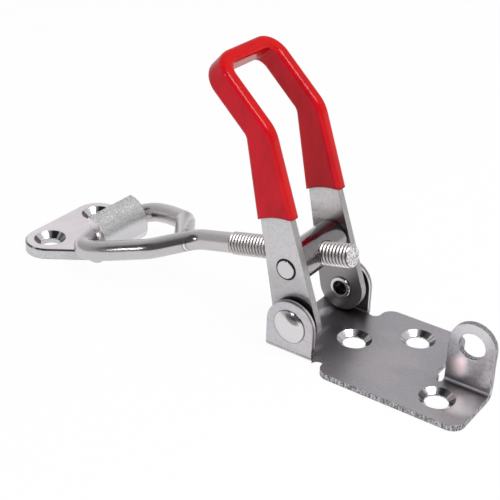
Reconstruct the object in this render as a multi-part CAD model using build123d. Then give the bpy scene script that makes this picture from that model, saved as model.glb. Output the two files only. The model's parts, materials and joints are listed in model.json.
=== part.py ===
from build123d import *
import os
from math import asin, cos, degrees, radians, sin, sqrt, tan

# Over-centre toggle latch with a screw-adjusted loop. Millimetres.
# X runs from the keeper (-X) to the padlock tab (+X), Y is across, +Z is up from the mounting surface.
# The origin is on the base plate's underside, below the handle's pivot, on the middle plane.

# Base plate: one bent sheet with two ears, a narrow neck, a wide foot and a padlock tab
base_sheet = 3.0
ear_gap = 50.4             # between the ears' inner faces
ear_radius = 13.1          # rounded top about the pivot, and half the ear's length
ear_bend = 0.6             # inside radius of the ears' bends
pivot_height = 16.2
relief_gap = 6.5           # between an ear and the wide foot, with a round end
neck_half = 24.2           # half-width of the neck between the two reliefs
foot_half = 35.0           # half-width of the wide foot
foot_end = 94.8            # the foot's far end, under the tab
short_end = 66.1           # the far end of the half beside the tab
foot_corner = 6.5
split_y = -2.6             # edge of the tab's half, where the other half is cut away
tab_face_y = -0.5          # the tab's face towards the cut-away half
tab_width = 23.2
tab_bend = 1.5             # inside radius of the tab's bend
tab_hole_height = 25.3
tab_hole_radius = 6.75     # for a padlock shackle
tab_relief = 3.0           # width of the slit at the tab's foot
screw_radius = 5.7         # screw clearance in the base
screw_sink_radius = 8.7    # rim of a countersink in the base
screw_land = 0.7           # straight wall under the countersink
screw_places = [(20.5, 0.0), (45.7, 19.3), (76.1, -19.3)]

# Rivets: domed heads outside the ears, tubular tails rolled over inside the legs
rivet_head_radius = 9.0
rivet_head_height = 2.8
rivet_shank_radius = 4.6
rivet_tail_radius = 5.7
rivet_tail_bore = 3.9
rivet_tail_length = 0.9
rivet_tail_chamfer = 0.3
rivet_bore_depth = 4.6

# Handle: one strap, two legs joined by a crossbar, bent over at the kink
leg_thickness = 4.0
leg_side_gap = 2.2         # between a leg and its ear
leg_lean = 15.0            # degrees from upright, towards the keeper
leg_foot_width = 24.8      # at the pivot
leg_kink_width = 11.2      # at the kink
kink_distance = 94.8       # from the pivot
kink_radius = 7.0          # inside of the kink
grip_lean = 47.2           # degrees from upright above the kink
grip_width = 9.8
grip_reach = 39.3          # from the kink to the strap's outer face
grip_bend = 7.0            # inside radius of the crossbar's corners

# Dipped sleeve on the grip
coat_leg = 1.7             # thickness on the legs
coat_bar = 1.6             # thickness on the crossbar
coat_start = 53.0          # from the pivot
coat_arch = 1.6            # rise of the lower edge in its middle
coat_round = 2.4

# Barrel: a cross nut that turns in the legs
barrel_distance = 27.4     # from the pivot
barrel_radius = 9.5
barrel_end_gap = 0.3       # between the barrel's shoulders and the legs
spigot_radius = 4.95
barrel_sink = 1.5          # countersink round the cross hole
barrel_chamfer = 0.6
spigot_chamfer = 0.5

# Eye bolt: a threaded rod whose end is bent into a loop and welded back on itself
thread_radius = 6.0
rod_radius = 5.4
bolt_reach = 138.3         # from the barrel's centre to the middle of the end bar
thread_behind = 23.9       # thread past the barrel's centre, away from the loop
thread_ahead = 48.6        # thread on the loop's side
bolt_chamfer = 1.0
spread_back = 66.4         # where the rod leaves the shank's line, back from the end bar
spread_radius = 13.5
spread_angle = 45.4
shoulder_half = 18.4       # half-width where the spread turns along the side
shoulder_radius = 17.0
flank_angle = 20.0
flank_radius = 55.0
side_angle = 9.0
loop_corner = 11.0         # centre-line radius of the corners beside the end bar
bar_bow = 55.0             # centre-line radius of the slightly bowed end bar
loop_side_gap = 5.6        # between the keeper's tongue and the rod at the loop's widest
weld_radius = 7.6          # centre-line radius of the last turn, before the weld
weld_lead = 7.0            # how much nearer the end bar that turn is than the spread's turn
weld_back = 61.0           # where the rod's end meets the shank, back from the end bar
weld_across = -5.6

# Keeper: one thick plate with two screw lobes and a curled hook
keeper_sheet = 6.0
keeper_hole_half = 19.5
keeper_lobe = 13.8
keeper_side_angle = 35.0   # degrees that the sides converge
keeper_hole_radius = 5.5
keeper_sink_radius = 8.8
tongue_half = 17.5
hook_start = 30.0          # from the screw holes to the start of the curl
hook_low_radius = 4.0      # inside radius of the lower bend
hook_wall = 3.4            # straight wall between the two bends
hook_top_radius = 7.6      # inside radius of the upper bend
hook_outer_end = 83.7      # degrees that the outer face curls past upright
hook_inner_end = 66.0
keeper_edge = 0.8          # broken edge along the upper side of the outline
bar_seat = 24.5            # from the screw holes to the loop's end bar

# Clearances
running_fit = 0.05         # radial, between a shaft and its hole
rivet_play = 0.1           # between a leg and the rivet's tail
bar_clearance = 0.3        # between the end bar and the keeper's plate
cut_past = 1.0             # how far a cut runs past the face it opens
join_depth = 1.0           # how far one solid runs into the next where they are joined
same_place = 0.01          # points nearer than this count as one

# Where the pieces meet
ear_inner = ear_gap / 2
ear_outer = ear_inner + base_sheet
leg_outer = ear_inner - leg_side_gap
leg_inner = leg_outer - leg_thickness
pivot = Vector(0, 0, pivot_height)
leg_up = Vector(-sin(radians(leg_lean)), 0, cos(radians(leg_lean)))
leg_across = Vector(cos(radians(leg_lean)), 0, sin(radians(leg_lean)))
grip_up = Vector(-sin(radians(grip_lean)), 0, cos(radians(grip_lean)))
grip_across = Vector(cos(radians(grip_lean)), 0, sin(radians(grip_lean)))
kink = pivot + leg_up * kink_distance
barrel_centre = pivot + leg_up * barrel_distance
bar_height = keeper_sheet + bar_clearance + rod_radius
bolt_lean = asin((barrel_centre.Z - bar_height) / bolt_reach)
bolt_along = Vector(-cos(bolt_lean), 0, -sin(bolt_lean))
bolt_plane = Plane(barrel_centre, x_dir=bolt_along, z_dir=bolt_along.cross(Vector(0, 1, 0)))
bar_centre = barrel_centre + bolt_along * bolt_reach
keeper_x = bar_centre.X - bar_seat
foot_start = ear_radius + relief_gap


def slab_xz(outline, y_low, y_high):
    """A side-view outline given thickness from y_low to y_high."""
    return Pos(0, y_high, 0) * extrude(Plane.XZ * outline, amount=y_high - y_low)


def slab_yz(outline, x_low, x_high):
    """An end-view outline given length from x_low to x_high."""
    return Pos(x_low, 0, 0) * extrude(Plane.YZ * outline, amount=x_high - x_low)


def box_xy(x_low, x_high, y_low, y_high):
    """A plan-view rectangle between two corners."""
    centre = Pos((x_low + x_high) / 2, (y_low + y_high) / 2)
    return centre * Rectangle(x_high - x_low, y_high - y_low)


def turned(radius, start, end, x, z):
    """A cylinder across the latch, from y = start to y = end."""
    return Pos(x, (start + end) / 2, z) * Rot(90, 0, 0) * Cylinder(radius, end - start)


def crossing(point, direction, other_point, other_direction):
    """Where two straight lines of one plane meet, as (a, b) pairs."""
    across = other_point[0] - point[0], other_point[1] - point[1]
    turn = direction[0] * other_direction[1] - direction[1] * other_direction[0]
    travel = (across[0] * other_direction[1] - across[1] * other_direction[0]) / turn
    return point[0] + direction[0] * travel, point[1] + direction[1] * travel


def heading(angle):
    """A unit step at an angle in degrees, as an (a, b) pair."""
    return cos(radians(angle)), sin(radians(angle))


def countersunk(x, y, sheet, hole_radius, sink_radius, land):
    """The space that a countersunk screw hole takes out of a sheet lying on z = 0."""
    straight = Pos(x, y, sheet / 2) * Cylinder(hole_radius, sheet + 2 * cut_past)
    depth = sheet - land
    cone = Pos(x, y, land + depth / 2) * Cone(hole_radius, sink_radius, depth)
    return straight + cone


def near(shape, point):
    """The vertex of a flat outline that lies nearest to a point."""
    return shape.vertices().sort_by_distance(point)[0]


def at_height(shape, height):
    """The vertices of a flat outline that lie at a height."""
    return [corner for corner in shape.vertices() if abs(corner.Y - height) < same_place]


def ear_channel():
    """Neck floor and both ears, as one U-shaped channel with rounded ends."""
    top = pivot_height + ear_radius
    outer = Pos(0, top / 2) * Rectangle(2 * ear_outer, top)
    outer = fillet(outer.vertices().group_by(Axis.Y)[0], ear_bend + base_sheet)
    inner = Pos(0, base_sheet + top / 2) * Rectangle(2 * ear_inner, top)
    inner = fillet(inner.vertices().group_by(Axis.Y)[0], ear_bend)
    channel = slab_yz(outer - inner, -ear_radius, ear_radius)
    side = Pos(0, pivot_height / 2) * Rectangle(2 * ear_radius, pivot_height)
    side += Pos(0, pivot_height) * Circle(ear_radius)
    return channel & slab_xz(side, -ear_outer, ear_outer)


def foot_outline():
    """Plan of the neck and the wide foot, before the holes."""
    relief_radius = relief_gap / 2
    relief_y = neck_half + relief_radius
    tab_root = tab_face_y - base_sheet - tab_bend
    tab_start = foot_end - tab_width
    near_half = box_xy(foot_start, foot_end, -foot_half, tab_root)
    near_half = fillet(near_half.vertices().group_by(Axis.Y)[0], foot_corner)
    strip = box_xy(foot_start, tab_start, tab_root - foot_corner, split_y)
    far_half = box_xy(foot_start, short_end, tab_root, foot_half)
    far_half = fillet(far_half.vertices().group_by(Axis.Y)[-1], foot_corner)
    plan = near_half + strip + far_half
    plan += box_xy(ear_radius, foot_start + relief_radius, -relief_y, relief_y)
    for side in (-1, 1):
        plan -= Pos(ear_radius + relief_radius, side * relief_y) * Circle(relief_radius)
    slit_radius = tab_relief / 2
    slit_end = tab_root - slit_radius / 2
    slit = box_xy(tab_start - tab_relief, tab_start, slit_end, split_y + cut_past)
    slit += Pos(tab_start - slit_radius, slit_end) * Circle(slit_radius)
    return plan - slit


def padlock_tab():
    """The tab bent up from the foot, with its hole."""
    front = tab_face_y - base_sheet
    root = front - tab_bend
    top = tab_hole_height + tab_width / 2
    outline = Polygon(
        (root - join_depth, 0), (tab_face_y, 0), (tab_face_y, top), (front, top), (front, base_sheet),
        (root - join_depth, base_sheet),
        align=None,
    )
    outline = fillet(near(outline, (tab_face_y, 0)), tab_bend + base_sheet)
    outline = fillet(near(outline, (front, base_sheet)), tab_bend)
    tab = slab_yz(outline, foot_end - tab_width, foot_end)
    centre_x = foot_end - tab_width / 2
    side = Pos(centre_x, tab_hole_height / 2) * Rectangle(tab_width, tab_hole_height)
    side += Pos(centre_x, tab_hole_height) * Circle(tab_width / 2)
    tab &= slab_xz(side, root - join_depth, tab_face_y)
    return tab - turned(tab_hole_radius, front - cut_past, tab_face_y + cut_past, centre_x, tab_hole_height)


def base_plate():
    plate = extrude(foot_outline(), amount=base_sheet) + ear_channel() + padlock_tab()
    for x, y in screw_places:
        plate -= countersunk(x, y, base_sheet, screw_radius, screw_sink_radius, screw_land)
    rivet_hole = rivet_shank_radius + running_fit
    return plate - turned(rivet_hole, -ear_outer - cut_past, ear_outer + cut_past, pivot.X, pivot.Z)


def rivet(side):
    """One rivet: dome, shank and rolled tail, turned about the pivot axis."""
    dome_radius = (rivet_head_radius ** 2 + rivet_head_height ** 2) / (2 * rivet_head_height)
    dome_y = ear_outer + rivet_head_height - dome_radius
    head = Pos(0, dome_y, 0) * Sphere(dome_radius)
    head &= turned(rivet_head_radius, ear_outer, ear_outer + rivet_head_height + cut_past, 0, 0)
    tail_start = leg_inner - rivet_play
    tail_end = tail_start - rivet_tail_length
    shank = turned(rivet_shank_radius, tail_end, ear_outer, 0, 0)
    tail = turned(rivet_tail_radius, tail_end, tail_start, 0, 0)
    tail = chamfer(tail.edges().filter_by(GeomType.CIRCLE), rivet_tail_chamfer)
    body = head + shank + tail
    body -= turned(rivet_tail_bore, tail_end - cut_past, tail_end + rivet_bore_depth, 0, 0)
    if side < 0:
        body = mirror(body, Plane.XZ)
    return Pos(pivot.X, 0, pivot.Z) * body


def leg_outline(start, grow, grip_length):
    """Side view of a leg, from a distance above the pivot, over the kink and along the grip."""
    low = pivot + leg_up * start
    corners = []
    kinks = []
    for side in (-1, 1):
        half_low = leg_foot_width + (leg_kink_width - leg_foot_width) * start / kink_distance
        foot = low + leg_across * side * (half_low / 2 + grow)
        knee = kink + leg_across * side * (leg_kink_width / 2 + grow)
        edge = kink + grip_across * side * (grip_width / 2 + grow)
        rise = knee - foot
        corner = crossing((foot.X, foot.Z), (rise.X, rise.Z), (edge.X, edge.Z), (grip_up.X, grip_up.Z))
        end = edge + grip_up * grip_length
        corners.append((foot.X, foot.Z))
        kinks.append(corner)
        corners.append((end.X, end.Z))
    arch = low + leg_up * (coat_arch if grow > 0 else -coat_arch)
    outline = make_face(
        ThreePointArc(corners[0], (arch.X, arch.Z), corners[2])
        + Polyline(corners[2], kinks[1], corners[3], corners[1], kinks[0], corners[0])
    )
    outline = fillet(near(outline, kinks[0]), kink_radius - grow)
    return fillet(near(outline, kinks[1]), kink_radius + grip_width + grow)


def grip_bow(grow_edge, grow_side, grow_bar, grip_length):
    """The U of the crossbar and its corners, above the straight part of the grip."""
    plane = Plane(kink, x_dir=(0, 1, 0), z_dir=grip_up.cross(Vector(0, 1, 0)))
    top = grip_reach + grow_bar
    under = grip_reach - leg_thickness - grow_bar
    outer_half = leg_outer + grow_side
    inner_half = leg_inner - grow_side
    grow = (grow_side + grow_bar) / 2
    rise = 1 if (plane.y_dir.dot(grip_up) > 0) else -1
    outer = Pos(0, rise * (grip_length + top) / 2) * Rectangle(2 * outer_half, top - grip_length)
    outer = fillet(at_height(outer, rise * top), grip_bend + leg_thickness + grow)
    inner = Pos(0, rise * (grip_length + under) / 2) * Rectangle(2 * inner_half, under - grip_length)
    inner = fillet(at_height(inner, rise * under), grip_bend - grow)
    return extrude(plane * (outer - inner), amount=grip_width / 2 + grow_edge, both=True)


def soften(solid, start, cut_point, radius):
    """Rounds the edges, but not those at the open lower end or on the cut at the top of the straight grip."""
    low = pivot + leg_up * (start + 2 * coat_arch)
    lengthwise = [edge for edge in solid.edges() if (edge.center() - low).dot(leg_up) > 0]
    off_cut = [edge for edge in lengthwise if abs((edge.center() - cut_point).dot(grip_up)) > same_place]
    return fillet(off_cut, radius)


def handle_form(start, grow_edge, grow_side, grow_bar, radius):
    """Legs and crossbar as one body, thicker than the bare strap by the amounts given."""
    grip_length = grip_reach - leg_thickness - coat_bar - grip_bend
    cut_point = kink + grip_up * grip_length
    leg = slab_xz(leg_outline(start, grow_edge, grip_length), leg_inner - grow_side, leg_outer + grow_side)
    bow = grip_bow(grow_edge, grow_side, grow_bar, grip_length)
    if radius > 0:
        leg = soften(leg, start, cut_point, radius)
        bow = soften(bow, start, cut_point, radius)
    return leg + mirror(leg, Plane.XZ) + bow


def handle_strap():
    strap = handle_form(0, 0, 0, 0, 0)
    for side in (-1, 1):
        low, high = sorted((side * leg_inner, side * leg_outer))
        strap += turned(leg_foot_width / 2, low, high, pivot.X, pivot.Z)
    end = leg_outer + cut_past
    strap -= turned(rivet_shank_radius + running_fit, -end, end, pivot.X, pivot.Z)
    return strap - turned(spigot_radius + running_fit, -end, end, barrel_centre.X, barrel_centre.Z)


def grip_sleeve():
    outside = handle_form(coat_start, coat_leg, coat_leg, coat_bar, coat_round)
    return outside - handle_form(0, 0, 0, 0, 0)


def barrel():
    shoulder = leg_inner - barrel_end_gap
    body = turned(barrel_radius, -shoulder, shoulder, 0, 0)
    body = chamfer(body.edges().filter_by(GeomType.CIRCLE), barrel_chamfer)
    pins = turned(spigot_radius, -leg_outer, leg_outer, 0, 0)
    body += chamfer(pins.edges().filter_by(GeomType.CIRCLE), spigot_chamfer)
    body = Pos(barrel_centre.X, 0, barrel_centre.Z) * body
    hole = thread_radius + running_fit
    body -= rod_along(hole, -2 * barrel_radius, 2 * barrel_radius)
    depth = barrel_radius - sqrt(barrel_radius ** 2 - hole ** 2)
    for side in (-1, 1):
        sink = Plane(bolt_plane.from_local_coords((side * (barrel_radius - depth), 0, 0)), z_dir=bolt_along * side)
        cone = Pos(0, 0, barrel_sink / 2) * Cone(hole, hole + barrel_sink, barrel_sink)
        body -= sink * cone
    return body


def rod_along(radius, start, end):
    """A cylinder on the bolt's axis, between two distances from the barrel's centre."""
    plane = Plane(bolt_plane.from_local_coords(((start + end) / 2, 0, 0)), z_dir=bolt_along)
    return plane * Cylinder(radius, end - start)


def loop_points():
    """Centre-line corners of the loop's side and the arcs of its end, in the bolt's plane."""
    half = tongue_half + loop_side_gap + rod_radius
    shoulder = (bolt_reach - spread_back + shoulder_half / tan(radians(spread_angle)), shoulder_half)
    bow_centre = (bolt_reach - bar_bow, 0)
    corner_y = half - loop_corner
    corner_x = bow_centre[0] + sqrt((bar_bow - loop_corner) ** 2 - corner_y ** 2)
    side_step = heading(side_angle)
    corner_start = (corner_x - loop_corner * side_step[1], corner_y + loop_corner * side_step[0])
    flank = crossing(shoulder, heading(flank_angle), corner_start, side_step)
    bow_angle = degrees(asin(corner_y / (bar_bow - loop_corner)))
    return shoulder, flank, corner_start, (corner_x, corner_y), bow_centre, bow_angle


def loop_end():
    """The two corner arcs and the bowed end bar between them."""
    corner_centre, bow_centre, bow_angle = loop_points()[3:]
    turn = 90 + side_angle - bow_angle
    near_corner = CenterArc((corner_centre[0], -corner_centre[1]), loop_corner, -90 - side_angle, turn)
    bow = CenterArc(bow_centre, bar_bow, -bow_angle, 2 * bow_angle)
    far_corner = CenterArc(corner_centre, loop_corner, bow_angle, turn)
    return near_corner, bow, far_corner


def swept_rod(line):
    """Round rod along a centre-line drawn in the bolt's plane."""
    path = bolt_plane * Wire(line.edges())
    return sweep(Plane(path @ 0, z_dir=path % 0) * Circle(rod_radius), path=path)


def eye_bolt():
    shoulder, flank, corner_start = loop_points()[:3]
    turn_off = (bolt_reach - spread_back, 0)
    mirrored = [(x, -y) for x, y in (shoulder, flank, corner_start)]
    near_side = FilletPolyline((thread_ahead, 0), turn_off, *mirrored,
                               radius=[spread_radius, shoulder_radius, flank_radius])
    rise = weld_lead * tan(radians(flank_angle))
    last_corner = (shoulder[0] + weld_lead, shoulder[1] + rise)
    join = ((last_corner[0] + flank[0]) / 2, (last_corner[1] + flank[1]) / 2)
    far_side = FilletPolyline(corner_start, flank, join, radius=flank_radius)
    near_corner, bow, far_corner = loop_end()
    loop = swept_rod(near_side + near_corner + bow + far_corner + far_side)
    weld_end = (bolt_reach - weld_back, weld_across)
    last_turn = FilletPolyline(join, last_corner, weld_end, radius=weld_radius)
    thread_end = thread_ahead - join_depth
    shank = rod_along(rod_radius, thread_end, thread_ahead)
    thread = rod_along(thread_radius, -thread_behind, thread_end)
    thread = chamfer(thread.edges().filter_by(GeomType.CIRCLE), min(bolt_chamfer, thread_radius - rod_radius))
    return thread + shank + loop + swept_rod(last_turn)


def keeper_plan():
    """Plan of the keeper's plate, about the middle of its screw holes."""
    step = heading(90 - keeper_side_angle)
    touch = (keeper_lobe * step[0], keeper_hole_half + keeper_lobe * step[1])
    waist = crossing(touch, (step[1], -step[0]), (0, tongue_half), (1, 0))
    plan = box_xy(-keeper_lobe, 0, -keeper_hole_half, keeper_hole_half)
    plan += Polygon(
        (0, -keeper_hole_half), (touch[0], -touch[1]), (waist[0], -waist[1]), (hook_start, -tongue_half),
        (hook_start, tongue_half), waist, touch, (0, keeper_hole_half),
        align=None,
    )
    for side in (-1, 1):
        plan += Pos(0, side * keeper_hole_half) * Circle(keeper_lobe)
    return plan


def hook_outline():
    """Side view of the plate's tongue and its curl, which opens towards the screw holes."""
    low_outer = hook_low_radius + keeper_sheet
    top_outer = hook_top_radius + keeper_sheet
    wall_in = hook_start + hook_low_radius
    wall_out = wall_in + keeper_sheet
    wall_low = low_outer
    wall_high = wall_low + hook_wall
    turn_x = wall_in - hook_top_radius
    inner_end = heading(hook_inner_end)
    outer_end = heading(hook_outer_end)
    inner_tip = (turn_x + hook_top_radius * inner_end[0], wall_high + hook_top_radius * inner_end[1])
    outer_tip = (turn_x + top_outer * outer_end[0], wall_high + top_outer * outer_end[1])
    low_centre = (hook_start, low_outer)
    lines = (
        Line((0, 0), (hook_start, 0))
        + CenterArc(low_centre, low_outer, -90, 90)
        + Line((wall_out, wall_low), (wall_out, wall_high))
        + CenterArc((turn_x, wall_high), top_outer, 0, hook_outer_end)
        + Line(outer_tip, inner_tip)
        + CenterArc((turn_x, wall_high), hook_top_radius, 0, hook_inner_end)
        + Line((wall_in, wall_high), (wall_in, wall_low))
        + CenterArc(low_centre, hook_low_radius, -90, 90)
        + Line((hook_start, keeper_sheet), (0, keeper_sheet))
        + Line((0, keeper_sheet), (0, 0))
    )
    return make_face(lines)


def keeper():
    plate = extrude(keeper_plan(), amount=keeper_sheet)
    body = plate + slab_xz(hook_outline(), -tongue_half, tongue_half)
    upper = body.edges().filter_by_position(Axis.Z, keeper_sheet, keeper_sheet)
    body = chamfer([edge for edge in upper if edge.center().X < hook_start - keeper_edge], keeper_edge)
    for side in (-1, 1):
        body -= countersunk(0, side * keeper_hole_half, keeper_sheet, keeper_hole_radius, keeper_sink_radius,
                            keeper_sheet - (keeper_sink_radius - keeper_hole_radius))
    return Pos(keeper_x, 0, 0) * body


pieces = {
    "base_plate": base_plate(),
    "pivot_rivet_left": rivet(-1),
    "pivot_rivet_right": rivet(1),
    "handle_strap": handle_strap(),
    "grip_sleeve": grip_sleeve(),
    "barrel_nut": barrel(),
    "eye_bolt": eye_bolt(),
    "hook_keeper": keeper(),
}
os.makedirs("parts", exist_ok=True)
for name, piece in pieces.items():
    export_step(piece, f"parts/{name}.step")
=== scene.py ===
import bpy
import bmesh
import json
import math
from mathutils import Matrix, Vector, noise


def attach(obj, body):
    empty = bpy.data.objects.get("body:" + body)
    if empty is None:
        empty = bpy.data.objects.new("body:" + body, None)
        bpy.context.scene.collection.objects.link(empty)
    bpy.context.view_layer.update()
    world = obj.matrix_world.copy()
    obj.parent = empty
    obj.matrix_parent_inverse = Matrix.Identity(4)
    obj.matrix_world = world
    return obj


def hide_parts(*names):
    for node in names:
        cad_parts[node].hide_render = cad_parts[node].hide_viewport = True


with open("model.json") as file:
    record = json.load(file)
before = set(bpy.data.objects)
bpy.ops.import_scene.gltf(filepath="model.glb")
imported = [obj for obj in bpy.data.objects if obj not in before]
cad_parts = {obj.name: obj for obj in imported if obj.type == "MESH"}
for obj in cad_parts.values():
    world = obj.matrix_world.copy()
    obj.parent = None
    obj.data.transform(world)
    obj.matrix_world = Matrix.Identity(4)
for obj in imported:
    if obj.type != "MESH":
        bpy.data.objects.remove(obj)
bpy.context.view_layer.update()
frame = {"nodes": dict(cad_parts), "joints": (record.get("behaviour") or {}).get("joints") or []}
print("frame loaded")

millimetre = 0.001
bevelSamples = 6
cornerSamples = 8


class Wire:                                          # a node's output that can be used in sums
    def __init__(self, graph, socket):
        self.graph = graph
        self.socket = socket

    def combine(self, operation, other, swapped=False):
        first, second = (other, self) if swapped else (self, other)
        kinds = [part.socket.type for part in (first, second) if isinstance(part, Wire)]
        if "RGBA" in kinds:
            settings = {"data_type": "RGBA", "blend_type": operation}
            return self.graph.add("ShaderNodeMix", settings, {0: 1.0, 6: first, 7: second}, 2)
        kind = "ShaderNodeVectorMath" if "VECTOR" in kinds else "ShaderNodeMath"
        return self.graph.add(kind, {"operation": operation}, {0: first, 1: second})

    def __add__(self, other):
        return self.combine("ADD", other)

    def __radd__(self, other):
        return self.combine("ADD", other, True)

    def __sub__(self, other):
        return self.combine("SUBTRACT", other)

    def __rsub__(self, other):
        return self.combine("SUBTRACT", other, True)

    def __mul__(self, other):
        return self.combine("MULTIPLY", other)

    def __rmul__(self, other):
        return self.combine("MULTIPLY", other, True)

    def __truediv__(self, other):
        return self.combine("DIVIDE", other)

    def __rtruediv__(self, other):
        return self.combine("DIVIDE", other, True)

    def __pow__(self, other):
        return self.graph.add("ShaderNodeMath", {"operation": "POWER"}, {0: self, 1: other})

    def size(self):                                  # without its sign
        return self.graph.add("ShaderNodeMath", {"operation": "ABSOLUTE"}, {0: self})

    def rise(self, low, high):                       # 0 below low, 1 above high, smooth between
        settings = {"interpolation_type": "SMOOTHSTEP"}
        return self.graph.add("ShaderNodeMapRange", settings, {0: self, 1: low, 2: high, 3: 0.0, 4: 1.0})

    def fall(self, low, high):                       # 1 below low, 0 above high
        return 1.0 - self.rise(low, high)


class Graph:                                         # the nodes of one material, or of the world
    def __init__(self, owner):
        owner.use_nodes = True
        self.owner = owner
        self.tree = owner.node_tree
        self.tree.nodes.clear()

    def add(self, kind, settings=None, values=None, output=0):
        node = self.tree.nodes.new(kind)
        for word, setting in (settings or {}).items():
            if word == "stops":
                self.fillRamp(node.color_ramp, setting)
            else:
                setattr(node, word, setting)
        for word, value in (values or {}).items():
            self.feed(node.inputs[word], value)
        return Wire(self, node.outputs[output]) if node.outputs else None

    def fillRamp(self, ramp, stops):
        while len(ramp.elements) < len(stops):
            ramp.elements.new(0.5)
        for element, (place, colour) in zip(ramp.elements, stops):
            element.position = place
            element.color = (*colour, 1.0)

    def feed(self, socket, value):                   # a wire is linked, anything else is set
        if isinstance(value, Wire):
            self.tree.links.new(value.socket, socket)
            return
        if socket.type in ("RGBA", "VECTOR") and isinstance(value, float):
            value = (value,) * 3
        if socket.type == "RGBA":
            value = (*value, 1.0)
        socket.default_value = value

    def place(self):                                 # the point on the piece, in millimetres
        spot = self.add("ShaderNodeTexCoord", output=3)
        return spot * (1.0 / millimetre)

    def normal(self):                                # the piece's own normal
        return self.add("ShaderNodeTexCoord", output=1)

    def axes(self, vector):                          # its x, y and z
        return [self.add("ShaderNodeSeparateXYZ", None, {0: vector}, axis) for axis in range(3)]

    def length(self, vector):
        return self.add("ShaderNodeVectorMath", {"operation": "LENGTH"}, {0: vector}, 1)

    def dot(self, first, second):
        return self.add("ShaderNodeVectorMath", {"operation": "DOT_PRODUCT"}, {0: first, 1: second}, 1)

    def ovalReach(self, spot, centre, halfSizes):    # 0 at an oval patch's centre, 1 on its edge
        return self.length((spot - centre) * tuple(1.0 / half for half in halfSizes))

    # soft noise; the spacing is one length in millimetres, or one for each axis
    def cloud(self, spot, spacing, detail=3.0, roughness=0.5):
        stretch = spacing if isinstance(spacing, tuple) else (spacing,) * 3
        scaled = spot * tuple(1.0 / length for length in stretch)
        values = {"Vector": scaled, "Scale": 1.0, "Detail": detail, "Roughness": roughness}
        return self.add("ShaderNodeTexNoise", {"noise_dimensions": "3D"}, values, 0)

    def blend(self, share, first, second):           # first where share is 0, second where it is 1
        settings = {"data_type": "RGBA", "blend_type": "MIX"}
        return self.add("ShaderNodeMix", settings, {0: share, 6: first, 7: second}, 2)

    def softEdge(self, radius):
        return self.add("ShaderNodeBevel", {"samples": bevelSamples}, {"Radius": radius * millimetre})

    def relief(self, height, depth, edgeRound):      # bumps of this depth over softened edges
        values = {"Height": height, "Strength": 1.0, "Distance": depth * millimetre}
        if edgeRound:
            values["Normal"] = self.softEdge(edgeRound)
        return self.add("ShaderNodeBump", None, values)

    # 0 deep in a corner, 1 in the open; alone leaves out the other pieces
    def corners(self, distance, alone):
        settings = {"samples": cornerSamples, "only_local": alone}
        return self.add("ShaderNodeAmbientOcclusion", settings, {"Distance": distance * millimetre}, 1)

    def rim(self, radius):                           # above 0 on a piece's sharp edges
        flat = self.add("ShaderNodeNewGeometry", output=1)
        return 1.0 - self.dot(self.softEdge(radius), flat)

    def finish(self, values):
        surface = self.add("ShaderNodeBsdfPrincipled", None, values)
        self.add("ShaderNodeOutputMaterial", None, {"Surface": surface})
        return self.owner

    def metal(self, colour, roughness, normal):
        return self.finish({"Base Color": colour, "Metallic": 1.0, "Roughness": roughness, "Normal": normal})


def newFinish(name):
    return Graph(bpy.data.materials.new(name))


def distance(first, second):
    return (first * first + second * second) ** 0.5


def past(place, steps):                              # the places that lie the steps beyond a place
    return [place + step for step in steps]


# In the looks below, colours are red, green and blue, and lengths are in millimetres.
# A Noise is its spacing, its detail and, where it isn't 0.5, its roughness. A Range is the two values between
# which a mask changes, and a Facing is such a range of how far a face turns one way. A Share is how much of
# a mask is used, and a Dull is how much rougher it makes the surface.

# countersinks, with painted reflections: sectors of light and dark round each cone

sinkLook = {
    "darkColour": (0.16, 0.155, 0.16),
    "reflectionSectorNoise": (0.42, 1.0),                      # over the normal, so it paints sectors of reflection round the cone
    "reflectionSectorRange": (0.42, 0.56),
    "roughness": 0.20,
}


def paintSinkReflections(graph, look, lightColour):
    reflectionSectors = graph.cloud(graph.normal() * (1.0, 1.0, 0.0), *look["reflectionSectorNoise"])
    return graph.blend(reflectionSectors.rise(*look["reflectionSectorRange"]), look["darkColour"], lightColour)


# base plate

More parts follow.
